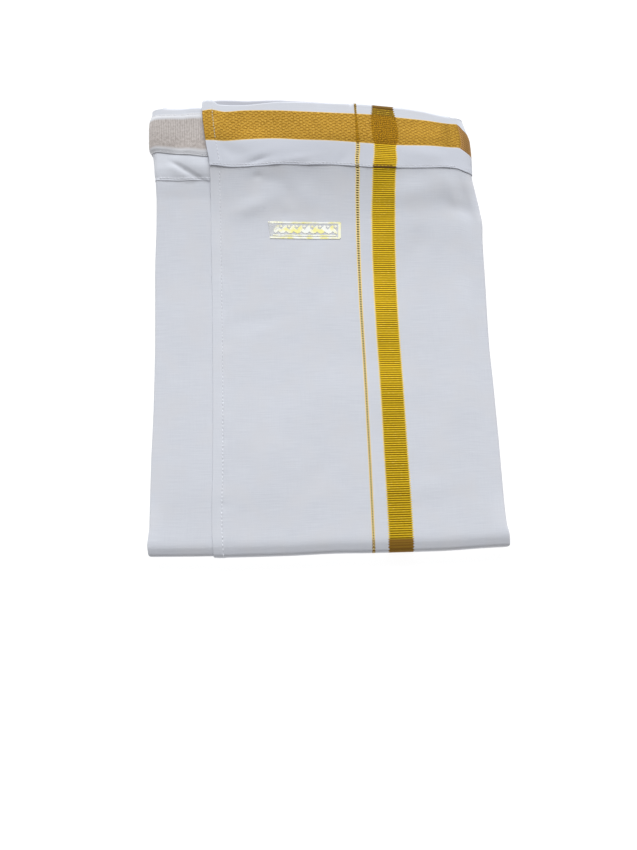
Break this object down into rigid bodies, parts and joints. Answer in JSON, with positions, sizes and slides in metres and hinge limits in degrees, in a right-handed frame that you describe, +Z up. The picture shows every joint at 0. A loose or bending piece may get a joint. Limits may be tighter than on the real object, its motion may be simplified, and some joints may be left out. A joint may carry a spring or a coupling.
{
  "type": "dhoti cloth",
  "caption": "Ready-made wrap dhoti of white cotton with a woven gold stripe and border, folded flat, with a sewn waistband, fastening tape and foil label.",
  "frame": {"origin": "middle of the footprint on the table that the folded cloth lies on", "axes": "+X across the folded cloth, towards the side fold; +Y towards the waistband; +Z up out of the table"},
  "size_m": [0.2498, 0.3432, 0.0226],
  "materials": {
    "cotton": "plain weave, matt, woven gold stripe and border",
    "loop_pile": "soft brushed loops",
    "gold_foil": "bright foil film"
  },
  "bodies": {
    "root": {"front_leaf": "cotton", "under_leaf": "cotton", "folded_layers": "cotton", "front_waistband": "cotton", "under_waistband": "cotton", "loop_tape": "loop_pile", "foil_label": "gold_foil"}
  },
  "joints": []
}
